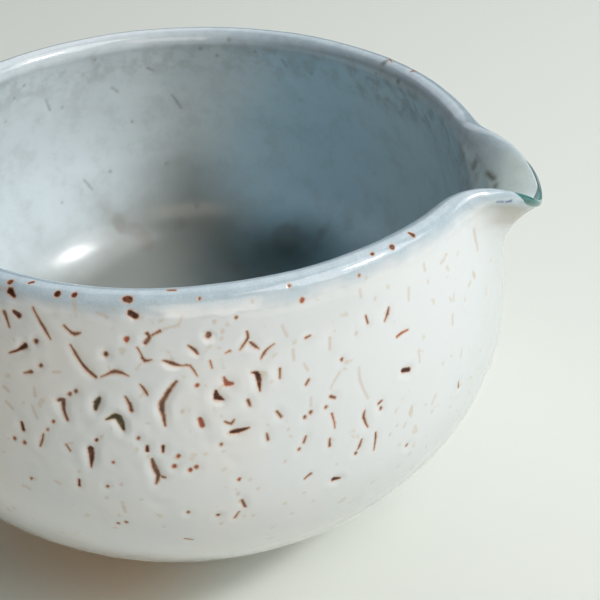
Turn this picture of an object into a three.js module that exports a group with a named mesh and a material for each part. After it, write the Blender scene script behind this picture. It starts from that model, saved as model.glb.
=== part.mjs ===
// A glazed stoneware tea pitcher: a round, slightly closed bowl on a turned foot ring, with no
// handle and one pouring lip pulled out of the rim. It cools and shares out tea or hot water.
//
// The pieces are the layers that a potter builds up: the thrown clay body with its pulled lip,
// the foot ring under it, the white glaze outside and inside, the blue-grey band where the glaze
// runs thin over the rim, and the bead of green glass that gathers on the edge of the lip.
// Every layer is the same profile swept round the axis, pushed out where the lip was pulled, so
// that each layer lies face to face on the one below it.
//
// Millimetres, +Z up. The lip pours towards +X. The origin is the middle of the pitcher's
// bounding box, on the table.
import * as THREE from "three";

// Driving dimensions of the finished, glazed pitcher
const height = 66; // table to the crest of the rim
const crestRadius = 46; // axis to the crest of the rim, away from the lip
const bellyRadius = 55.3; // widest outside radius
const bellyHeight = 36;
const bellySoftness = 0.15; // eases the turn from the lower wall into the upper one
const rimThickness = 4.6; // across the rounded rim
const bellyThickness = 4.6; // clay at the belly
const floorThickness = 4.4; // clay at the middle of the bowl
const footHeight = 4;
const footRadius = 25.3; // outside of the foot ring where it meets the bowl
const footTaper = 1.6; // how far the ring draws in towards the table
const footWallThickness = 4.6;
const footEdge = 0.7; // rounded edges of the ring
const glazeThickness = 0.7;
const beadThickness = 0.45; // the glass that hangs on the lip, at its middle
const beadEdge = 0.15; // and where it runs out

// The pulled lip. Azimuths are in radians from +X.
const lip = { reach: 9.35, width: 0.164, sharpness: 2.4, fall: 6.3 };
const throat = { reach: 2.1, width: 0.455, fall: 8 }; // the wall swells a little behind the lip
const shoulder = { rise: 2.1, at: 0.09, width: 0.158, fall: 3.2 }; // the rim lifts beside the lip
const notch = { drop: 7.6, width: 0.128, fall: 16.7 }; // and drops where the tea runs over

// How finely the form is divided
const columns = 60;
const lipCrowding = 0.6; // above 0, columns crowd towards the lip
const upperRows = 7;
const upperRowCrowding = 1.7; // above 1, rows crowd towards the rim
// Round the rim, from where the wall, leaning in by the first angle, meets it
const rimTurns = [22, 56, 90, 127, 164, 202].map(THREE.MathUtils.degToRad);
const bandRows = 2; // rows of wall that the rim band covers on each side
const lowerAngles = [90, 82, 71, 58, 43, 29, 14].map(THREE.MathUtils.degToRad);
const lowerRoundness = 1.8; // 2 is an ellipse, less is flatter
const innerAngles = [15, 32, 49, 65, 78].map(THREE.MathUtils.degToRad);
const innerRoundness = 2.6; // fuller than an ellipse, so the wall stays even down to the floor

// Sizes of the clay under its glaze
const claySurface = (radius) => radius - glazeThickness;
const rimHalf = rimThickness / 2 - glazeThickness;
const clayHeight = height - glazeThickness;
const rimCentreHeight = clayHeight - rimHalf;
const clayBelly = claySurface(bellyRadius);
const onRim = (turn) => [
  crestRadius + rimHalf * Math.cos(turn),
  rimCentreHeight + rimHalf * Math.sin(turn),
];
const [rimLean] = rimTurns;
const [wallTopRadius, wallTopHeight] = onRim(rimLean);

const gauss = (x, width) => Math.exp(-((x / width) ** 2));
// What is left of the pull at a depth below the crest: none at all below the belly.
const fade = (depth, fall) =>
  Math.max(Math.exp(-depth / fall) - Math.exp((bellyHeight - height) / fall), 0);
const spread = (start, end, count) =>
  Array.from({ length: count }, (_, i) => start + ((end - start) * i) / count);

// Outside of the clay, from the foot line up to where the rim starts to round over: [radius, z].
function outerWall() {
  const drop = bellyHeight - footHeight;
  const lower = lowerAngles.map((angle) => [
    footRadius + (clayBelly - footRadius) * Math.cos(angle) ** (2 / lowerRoundness),
    bellyHeight - drop * Math.sin(angle) ** (2 / lowerRoundness),
  ]);
  const rise = wallTopHeight - bellyHeight;
  const eased = (x) => (x * x + bellySoftness ** 2) ** 0.75 - bellySoftness ** 1.5;
  const upper = spread(0, 1, upperRows).map((step) => {
    const up = 1 - (1 - step) ** upperRowCrowding; // 0 at the belly, 1 at the rim
    const inward = (clayBelly - wallTopRadius) * (eased(up) / eased(1));
    return [clayBelly - inward, bellyHeight + rise * up];
  });
  return [...lower, ...upper];
}

// Unit normals of a profile, pointing away from the clay (to the left of its direction of travel
// they point in, so the right side is taken). At the axis the normal is vertical.
function normalsOf(profile) {
  return profile.map(([radius], i) => {
    if (radius === 0) return [0, 1];
    const [r0, z0] = profile[Math.max(i - 1, 0)];
    const [r1, z1] = profile[Math.min(i + 1, profile.length - 1)];
    const length = Math.hypot(r1 - r0, z1 - z0);
    return [(z1 - z0) / length, (r0 - r1) / length];
  });
}

// The inside of the clay, from the rim down to the middle of the floor. Down to the belly it
// follows the outside at the wall's thickness, which grows as it goes down.
function innerWall(outside) {
  const normals = normalsOf([...outside, onRim(rimLean)]);
  const upper = outside.slice(lowerAngles.length + 1).map(([radius, z], i) => {
    const depth = (wallTopHeight - z) / (wallTopHeight - bellyHeight);
    const thickness = 2 * rimHalf + (bellyThickness - 2 * rimHalf) * depth;
    const [outward, upward] = normals[lowerAngles.length + 1 + i];
    return [radius - outward * thickness, z - upward * thickness];
  });
  const innerBelly = clayBelly - bellyThickness;
  const drop = bellyHeight - footHeight - floorThickness;
  const lower = [0, ...innerAngles].map((angle) => [
    innerBelly * Math.cos(angle) ** (2 / innerRoundness),
    bellyHeight - drop * Math.sin(angle) ** (2 / innerRoundness),
  ]);
  return [...upper.reverse(), ...lower, [0, bellyHeight - drop]];
}

const outside = outerWall();
const clayLine = [...outside, ...rimTurns.map(onRim), ...innerWall(outside)];
const clayNormals = normalsOf(clayLine);
// Each point of a profile carries its row number, with a half more on the glaze's outer face.
const clayProfile = clayLine.map(([radius, z], row) => [radius, z, row]);
const glazeProfile = clayLine.map(([radius, z], row) => [
  radius === 0 ? 0 : radius + clayNormals[row][0] * glazeThickness,
  z + clayNormals[row][1] * glazeThickness,
  row + 0.5,
]);

// Columns round the axis, crowded towards the lip at azimuth 0.
const azimuths = spread(-Math.PI, Math.PI, columns).map(
  (turn) => turn - lipCrowding * Math.sin(turn),
);

// Where a profile point goes once the lip has been pulled.
function pulled([radius, z], azimuth) {
  const side = Math.abs(azimuth);
  const below = Math.max(height - z, 0);
  const out =
    lip.reach * Math.exp(-((side / lip.width) ** lip.sharpness)) * fade(below, lip.fall) +
    throat.reach * gauss(side, throat.width) * fade(below, throat.fall);
  const up =
    shoulder.rise * gauss(side - shoulder.at, shoulder.width) * fade(below, shoulder.fall) -
    notch.drop * gauss(side, notch.width) * fade(below, notch.fall);
  const reach = radius + out;
  return new THREE.Vector3(reach * Math.cos(azimuth), reach * Math.sin(azimuth), z + up);
}

// A closed skin from rings of points. A ring of radius 0 becomes a single pole, and the last ring
// joins back to the first unless both ends are poles. Each four-sided patch is split from its
// lower row number, so two layers that share rows of the profile meet face to face.
function closedSkin(profile) {
  const positions = [];
  const rings = profile.map(([radius, z, row]) => {
    const first = positions.length / 3;
    const isPole = radius === 0;
    const turns = isPole ? [0] : azimuths;
    turns.forEach((azimuth) => positions.push(...pulled([radius, z], azimuth).toArray()));
    return { first, isPole, row };
  });
  const index = [];
  const joins = rings.map((ring, i) => [ring, rings[(i + 1) % rings.length]]);
  for (const [low, high] of joins) {
    for (let column = 0; column < columns; column++) {
      const next = (column + 1) % columns;
      const a = low.first + (low.isPole ? 0 : column);
      const b = low.first + (low.isPole ? 0 : next);
      const c = high.first + (high.isPole ? 0 : next);
      const d = high.first + (high.isPole ? 0 : column);
      if (low.isPole) index.push(a, c, d);
      else if (high.isPole) index.push(a, b, c);
      else if (low.row <= high.row) index.push(a, b, c, a, c, d);
      else index.push(a, b, d, b, c, d);
    }
  }
  const geometry = new THREE.BufferGeometry();
  geometry.setAttribute("position", new THREE.Float32BufferAttribute(positions, 3));
  geometry.setIndex(index);
  geometry.computeVertexNormals();
  return geometry;
}

// One coat of glaze between two rows of the profile: up its outer face, back down the clay.
function coat(fromRow, toRow) {
  const outer = glazeProfile.slice(fromRow, toRow + 1);
  const inner = clayProfile.slice(fromRow, toRow + 1).reverse();
  return closedSkin([...outer, ...inner]);
}

// The foot ring: a turned ring with eased edges, drawn in towards the table.
function footRing() {
  const outerTop = footRadius;
  const outerBottom = footRadius - footTaper;
  const innerBottom = outerBottom - footWallThickness + 1;
  const innerTop = footRadius - footWallThickness;
  const profile = [
    [innerTop, footHeight],
    [innerBottom, footEdge],
    [innerBottom + footEdge, 0],
    [outerBottom - footEdge, 0],
    [outerBottom, footEdge],
    [outerTop, footHeight],
    [innerTop, footHeight],
  ];
  const points = profile.map(([radius, z]) => new THREE.Vector2(radius, z));
  const ring = new THREE.LatheGeometry(points, columns);
  return ring.rotateX(Math.PI / 2); // the lathe turns about Y; the pitcher stands along Z
}

// The glass bead: a thin lens on the outer edge of the lip, thickest at its middle.
function lipBead() {
  const columnReach = 3; // columns on each side of the lip's centre line
  const firstColumn = columns / 2 - columnReach;
  const firstRow = outside.length - 1; // up to the crest
  const rows = 3;
  const wide = 2 * columnReach;
  const seat = (row, column) =>
    pulled(glazeProfile[firstRow + row], azimuths[firstColumn + column]);
  const facing = (row, column) => {
    const across = seat(row, column + 1).sub(seat(row, column - 1));
    return across.cross(seat(row + 1, column).sub(seat(row - 1, column))).normalize();
  };
  const positions = [];
  for (const isTop of [false, true]) {
    for (let row = 0; row <= rows; row++) {
      for (let column = 0; column <= wide; column++) {
        const swell = Math.sin((Math.PI * row) / rows) * Math.sin((Math.PI * column) / wide);
        const grow = isTop ? beadEdge + (beadThickness - beadEdge) * swell : 0;
        const place = seat(row, column).addScaledVector(facing(row, column), grow);
        positions.push(...place.toArray());
      }
    }
  }
  const vertexOf = (row, column) => row * (wide + 1) + column;
  const sheet = vertexOf(rows + 1, 0); // from a point on the seat to the one above it
  const index = [];
  for (let row = 0; row < rows; row++) {
    for (let column = 0; column < wide; column++) {
      const a = vertexOf(row, column);
      const b = vertexOf(row, column + 1);
      const c = vertexOf(row + 1, column + 1);
      const d = vertexOf(row + 1, column);
      index.push(a, c, b, a, d, c);
      index.push(...[a, b, c, a, c, d].map((vertex) => vertex + sheet));
    }
  }
  const border = [
    ...spread(0, wide, wide).map((column) => vertexOf(0, column)),
    ...spread(0, rows, rows).map((row) => vertexOf(row, wide)),
    ...spread(wide, 0, wide).map((column) => vertexOf(rows, column)),
    ...spread(rows, 0, rows).map((row) => vertexOf(row, 0)),
  ];
  border.forEach((from, i) => {
    const to = border[(i + 1) % border.length];
    index.push(from, to, to + sheet, from, to + sheet, from + sheet);
  });
  const geometry = new THREE.BufferGeometry();
  geometry.setAttribute("position", new THREE.Float32BufferAttribute(positions, 3));
  geometry.setIndex(index);
  geometry.computeVertexNormals();
  return geometry;
}

const material = (color, roughness) =>
  new THREE.MeshStandardMaterial({ color, roughness, metalness: 0 });
const bareClay = material(0x7a5a44, 0.85);
const whiteGlaze = material(0xe4e6e2, 0.14);
const innerGlazeColour = material(0xb9c9cf, 0.12);
const rimGlazeColour = material(0xa9bcc8, 0.12);
const greenGlass = material(0x4f9a8c, 0.05);

function piece(name, geometry, finish) {
  const mesh = new THREE.Mesh(geometry, finish);
  mesh.name = name;
  return mesh;
}

const rimStart = outside.length - bandRows;
const rimEnd = outside.length + rimTurns.length - 1 + bandRows;
const glazeLine = 1; // the coat stops a row short of the foot, so bare clay shows there
const lastRow = clayProfile.length - 1;

const pitcher = new THREE.Group();
pitcher.add(
  piece("clay_body", closedSkin([[0, footHeight, -1], ...clayProfile]), bareClay),
  piece("foot_ring", footRing(), bareClay),
  piece("outer_glaze", coat(glazeLine, rimStart), whiteGlaze),
  piece("rim_glaze", coat(rimStart, rimEnd), rimGlazeColour),
  piece("inner_glaze", coat(rimEnd, lastRow), innerGlazeColour),
  piece("lip_bead", lipBead(), greenGlass),
);

// The lip reaches out on one side, so the whole is moved to stand centred on the origin.
const bounds = new THREE.Box3().setFromObject(pitcher, true);
pitcher.position.set(-(bounds.min.x + bounds.max.x) / 2, -(bounds.min.y + bounds.max.y) / 2, 0);

export default pitcher;
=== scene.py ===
# A glazed stoneware tea pitcher: a round, slightly closed bowl on a turned foot ring, with one
# pouring lip pulled out of its rim and a thick white glaze that crawled into slits and pits.
# Shapes are worked out in millimetres and written in metres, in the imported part's frame.
import math
import random

import bpy
import numpy as np
from mathutils import Euler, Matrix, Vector, noise
from mathutils.bvhtree import BVHTree


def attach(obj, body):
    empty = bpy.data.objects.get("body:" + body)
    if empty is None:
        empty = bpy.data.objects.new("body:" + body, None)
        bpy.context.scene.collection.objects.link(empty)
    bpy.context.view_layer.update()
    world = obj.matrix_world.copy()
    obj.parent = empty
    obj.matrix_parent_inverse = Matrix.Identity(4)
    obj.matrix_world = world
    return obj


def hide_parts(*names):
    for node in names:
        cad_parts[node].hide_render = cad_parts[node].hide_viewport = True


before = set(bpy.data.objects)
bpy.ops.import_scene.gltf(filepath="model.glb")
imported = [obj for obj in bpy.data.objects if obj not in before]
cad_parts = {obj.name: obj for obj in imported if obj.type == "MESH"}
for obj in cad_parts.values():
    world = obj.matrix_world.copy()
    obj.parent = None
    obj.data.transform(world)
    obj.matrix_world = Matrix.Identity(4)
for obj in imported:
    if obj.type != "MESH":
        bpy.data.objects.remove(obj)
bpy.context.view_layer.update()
print("packed part loaded")

mm = 0.001
dice = random.Random(2983)

# The photograph was taken close up, from the front left of the lip.
photo = {
    "place": (52.99, -125.4, 130.3),  # mm
    "azimuth": 105.4,  # degrees that the camera looks towards, from +X
    "down": 36.3,  # degrees
    "lens": 54.2,  # mm
    "sensor": 36.0,
    "size": 600,  # pixels
}

lensData = bpy.data.cameras.new("photoCamera")
lensData.lens = photo["lens"]
lensData.sensor_width = photo["sensor"]
lensData.clip_start = 10 * mm
camera = bpy.data.objects.new("photoCamera", lensData)
camera.location = Vector(photo["place"]) * mm
camera.rotation_euler = Euler(
    (math.radians(90 - photo["down"]), 0, math.radians(photo["azimuth"] - 90))
)
bpy.context.scene.collection.objects.link(camera)
bpy.context.scene.camera = camera
print("camera placed")

# The same sizes as in the part's source, in millimetres
form = {
    "axis": -1.52,  # x of the bowl's axis
    "height": 66.0,
    "crestRadius": 46.0,
    "bellyRadius": 55.3,
    "bellyHeight": 36.0,
    "bellySoftness": 0.15,
    "rimLean": 22.0,  # degrees that the wall leans in where it meets the rim
    "rimThickness": 4.6,
    "bellyThickness": 4.6,
    "floorThickness": 4.4,
    "footHeight": 4.0,
    "footRadius": 25.3,
    "glaze": 0.7,
    "lowerRoundness": 1.8,
    "innerRoundness": 2.6,
    "step": 0.25,  # between the points of its profile
}
# How the lip was pulled: each movement's width is in radians from the lip's middle, and its fall
# is how fast it fades below the rim, in mm
lip = {"reach": 9.35, "width": 0.164, "sharpness": 2.4, "fall": 6.3}
throat = {"reach": 2.1, "width": 0.455, "fall": 8.0}
shoulder = {"rise": 2.1, "at": 0.09, "width": 0.158, "fall": 3.2}
notch = {"drop": 7.6, "width": 0.128, "fall": 16.7}


def fade(depth, fall):
    deepest = form["height"] - form["bellyHeight"]
    return np.maximum(np.exp(-depth / fall) - math.exp(-deepest / fall), 0)


def pulled(radius, azimuth, z):
    # where a point of the turned bowl goes once the lip has been pulled
    side = np.abs(azimuth)
    below = np.maximum(form["height"] - z, 0)
    out = lip["reach"] * np.exp(-((side / lip["width"]) ** lip["sharpness"])) * fade(
        below, lip["fall"]
    ) + throat["reach"] * np.exp(-((side / throat["width"]) ** 2)) * fade(below, throat["fall"])
    up = shoulder["rise"] * np.exp(-(((side - shoulder["at"]) / shoulder["width"]) ** 2)) * fade(
        below, shoulder["fall"]
    ) - notch["drop"] * np.exp(-((side / notch["width"]) ** 2)) * fade(below, notch["fall"])
    reach = radius + out
    x = reach * np.cos(azimuth) + form["axis"]
    return np.stack([x, reach * np.sin(azimuth), z + up], axis=-1)


def clayLine():
    # the clay's profile as fine points of radius and height: foot, wall, rim, inside, floor
    rimHalf = form["rimThickness"] / 2 - form["glaze"]
    rimCentre = form["height"] - form["glaze"] - rimHalf
    belly = form["bellyRadius"] - form["glaze"]
    low = np.radians(np.linspace(90, 0, 161))[:-1]
    power = 2 / form["lowerRoundness"]
    lower = np.stack(
        [
            form["footRadius"] + (belly - form["footRadius"]) * np.cos(low) ** power,
            form["bellyHeight"] - (form["bellyHeight"] - form["footHeight"]) * np.sin(low) ** power,
        ],
        axis=-1,
    )
    lean = math.radians(form["rimLean"])
    turn = np.linspace(lean, lean + math.pi, 41)
    rim = np.stack(
        [form["crestRadius"] + rimHalf * np.cos(turn), rimCentre + rimHalf * np.sin(turn)], axis=-1
    )
    top, topHeight = rim[0]
    soft = form["bellySoftness"]
    up = np.linspace(0, 1, 161)[:-1]
    inward = (up**2 + soft**2) ** 0.75 - soft**1.5
    inward *= (belly - top) / ((1 + soft**2) ** 0.75 - soft**1.5)
    upper = np.stack(
        [belly - inward, form["bellyHeight"] + (topHeight - form["bellyHeight"]) * up], axis=-1
    )
    thickness = 2 * rimHalf + (form["bellyThickness"] - 2 * rimHalf) * (1 - up)
    along = np.gradient(upper, axis=0)
    along /= np.linalg.norm(along, axis=1, keepdims=True)
    insideUpper = upper - np.stack([along[:, 1], -along[:, 0]], axis=-1) * thickness[:, None]
    innerBelly = belly - form["bellyThickness"]
    drop = form["bellyHeight"] - form["footHeight"] - form["floorThickness"]
    low = np.radians(np.linspace(0, 90, 161))
    power = 2 / form["innerRoundness"]
    floor = np.stack(
        [innerBelly * np.cos(low) ** power, form["bellyHeight"] - drop * np.sin(low) ** power],
        axis=-1,
    )
    floor[-1, 0] = 0
    line = np.concatenate([lower, upper, rim, insideUpper[::-1][:-1], floor])
    return evened(line, form["step"])


def evened(line, step):
    # the same line with points at even steps along it
    lengths = np.concatenate([[0], np.cumsum(np.linalg.norm(np.diff(line, axis=0), axis=1))])
    count = max(int(round(lengths[-1] / step)), 1)
    marks = np.linspace(0, lengths[-1], count + 1)
    return np.stack([np.interp(marks, lengths, line[:, i]) for i in (0, 1)], axis=-1)


def grown(line, thickness):
    # the line moved outwards by the glaze's thickness
    along = np.gradient(line, axis=0)
    along /= np.linalg.norm(along, axis=1, keepdims=True)
    moved = line + np.stack([along[:, 1], -along[:, 0]], axis=-1) * thickness
    moved[line[:, 0] == 0, 0] = 0
    return moved


clay = clayLine()
glazeLine = grown(clay, form["glaze"])
crestRow = int(np.argmax(glazeLine[:, 1]))
lengths = np.concatenate([[0], np.cumsum(np.linalg.norm(np.diff(glazeLine, axis=0), axis=1))])
fromCrest = lengths - lengths[crestRow]  # mm along the glaze: below 0 outside, above 0 inside


def stretch(start, end, step):
    # the part of the glaze line between two distances from the crest
    count = max(int(round((end - start) / step)), 1)
    marks = np.linspace(start, end, count + 1)
    return np.stack([np.interp(marks, fromCrest, glazeLine[:, i]) for i in (0, 1)], axis=-1)


def deselectAll():
    if bpy.context.object and bpy.context.object.mode != "OBJECT":
        bpy.ops.object.mode_set(mode="OBJECT")
    bpy.ops.object.select_all(action="DESELECT")


def selectOnly(piece):
    deselectAll()
    piece.select_set(True)
    bpy.context.view_layer.objects.active = piece


def turnOnWheel(name, line, columns, facesCavity=False):
    # draws the line point by point and spins it round the axis; a line off the axis stays open
    deselectAll()
    radius, z = line[0] * mm
    bpy.ops.mesh.primitive_plane_add(size=2 * mm, location=(radius, 0, z))
    piece = bpy.context.object
    piece.name = piece.data.name = name
    bpy.ops.object.mode_set(mode="EDIT")
    bpy.ops.mesh.merge(type="CENTER")
    for step in np.diff(line, axis=0) * mm:
        bpy.ops.mesh.extrude_vertices_move(
            TRANSFORM_OT_translate={"value": (float(step[0]), 0, float(step[1]))}
        )
    bpy.ops.mesh.select_all(action="SELECT")
    bpy.ops.mesh.spin(steps=columns, angle=2 * math.pi, center=(0, 0, 0), axis=(0, 0, 1))
    bpy.ops.mesh.select_all(action="SELECT")
    bpy.ops.mesh.remove_doubles(threshold=0.02 * mm)
    bpy.ops.mesh.normals_make_consistent(inside=facesCavity)
    bpy.ops.object.mode_set(mode="OBJECT")
    bpy.ops.object.transform_apply(location=True, rotation=True, scale=True)
    return piece


def readPoints(piece):
    points = np.empty(len(piece.data.vertices) * 3)
    piece.data.vertices.foreach_get("co", points)
    return points.reshape(-1, 3) / mm


def writePoints(piece, points):
    piece.data.vertices.foreach_set("co", (points * mm).ravel())
    piece.data.update()


def readNormals(piece):
    normals = np.empty(len(piece.data.vertices) * 3)
    piece.data.vertices.foreach_get("normal", normals)
    return normals.reshape(-1, 3)


def pullLip(piece):
    points = readPoints(piece)
    radius = np.hypot(points[:, 0], points[:, 1])
    azimuth = np.arctan2(points[:, 1], points[:, 0])
    writePoints(piece, pulled(radius, azimuth, points[:, 2]))
    return radius, points[:, 2]


def noteCrest(piece, radius, z):
    # keeps each point's distance from the crest, for the colours that follow the rim
    nearest = np.empty(len(z))
    batch = 4000  # points compared at a time
    for start in range(0, len(z), batch):
        part = slice(start, start + batch)
        gap = (glazeLine[:, 0, None] - radius[part]) ** 2 + (glazeLine[:, 1, None] - z[part]) ** 2
        nearest[part] = fromCrest[np.argmin(gap, axis=0)]
    layer = piece.data.attributes.new("fromCrest", "FLOAT", "POINT")
    layer.data.foreach_set("value", nearest)


# The thick glaze lies in slow waves, and ends in a low roll under the rim that fades at the tip
glazeLie = {
    "scales": (0.08, 0.3, 0.45, 1.1),  # of the slow and quick waves, the lumps and the fine lumps
    "slow": 0.10,  # mm high
    "quick": 0.03,
    "rollPlace": -4.0,  # mm along the glaze from the crest
    "rollPlaceAtLip": -2.5,
    "rollHigh": 0.15,
    "rollHighAtLip": 0.5,
    "rollWide": 0.75,
    "rollWideAtLip": 1.0,
    "rollWanders": 0.4,  # mm up and down
    "rollLumps": (0.5, 0.75),  # shares of its height that the lumps and the fine lumps take
    "evenAtLip": 0.75,
    "lipRoll": (0.19, 0.29),  # radians from the lip's middle over which it gives way to the rim's
    "tip": 0.12,  # radians from the lip's middle that have no roll
}


def lipValue(name, atLip):
    return glazeLie[name] + (glazeLie[name + "AtLip"] - glazeLie[name]) * atLip


def layGlaze(piece):
    points = readPoints(piece)
    below = np.empty(len(points))
    piece.data.attributes["fromCrest"].data.foreach_get("value", below)
    azimuth = np.arctan2(points[:, 1], points[:, 0] - form["axis"])
    lipEnds, rimBegins = glazeLie["lipRoll"]
    atLip = np.clip((rimBegins - np.abs(azimuth)) / (rimBegins - lipEnds), 0, 1) ** 1.5
    offTip = 1 - np.exp(-((azimuth / glazeLie["tip"]) ** 6))
    slow, quick, lumps, fine = (
        np.array([noise.noise(Vector(p) * scale) for p in points]) for scale in glazeLie["scales"]
    )
    lumpShare, fineShare = glazeLie["rollLumps"]
    uneven = (lumpShare * lumps + fineShare * fine) * (1 - glazeLie["evenAtLip"] * atLip)
    middle = lipValue("rollPlace", atLip) + glazeLie["rollWanders"] * lumps
    high = lipValue("rollHigh", atLip) * offTip * (1 + uneven)
    roll = high * np.exp(-(((below - middle) / lipValue("rollWide", atLip)) ** 2))
    rise = glazeLie["slow"] * slow + glazeLie["quick"] * quick + roll
    writePoints(piece, points + readNormals(piece) * rise[:, None])


coat = {
    "columns": 560,
    "step": 0.62,  # mm between rows outside
    "rimStep": 0.42,
    "innerStep": 1.1,
    "bandOutside": 6.0,  # mm from the crest to the rim coat's lower edge
    "bandInside": 6.0,
    "bareAtFoot": 3.2,  # mm of bare clay left above the foot
    "wall": 0.62,
    "backKept": 0.7,  # share of the outer coat's hidden faces
}
outerCoat = turnOnWheel(
    "outer_coat",
    stretch(fromCrest[0] + coat["bareAtFoot"], -coat["bandOutside"], coat["step"]),
    coat["columns"],
)
rimCoat = turnOnWheel(
    "rim_coat", stretch(-coat["bandOutside"], coat["bandInside"], coat["rimStep"]), coat["columns"]
)
innerCoat = turnOnWheel(
    "inner_coat",
    stretch(coat["bandInside"], fromCrest[-1], coat["innerStep"]),
    coat["columns"],
    facesCavity=True,
)
coats = [outerCoat, rimCoat, innerCoat]
for piece in coats:
    noteCrest(piece, *pullLip(piece))
    layGlaze(piece)
print("glaze coats turned and pulled")

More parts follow.
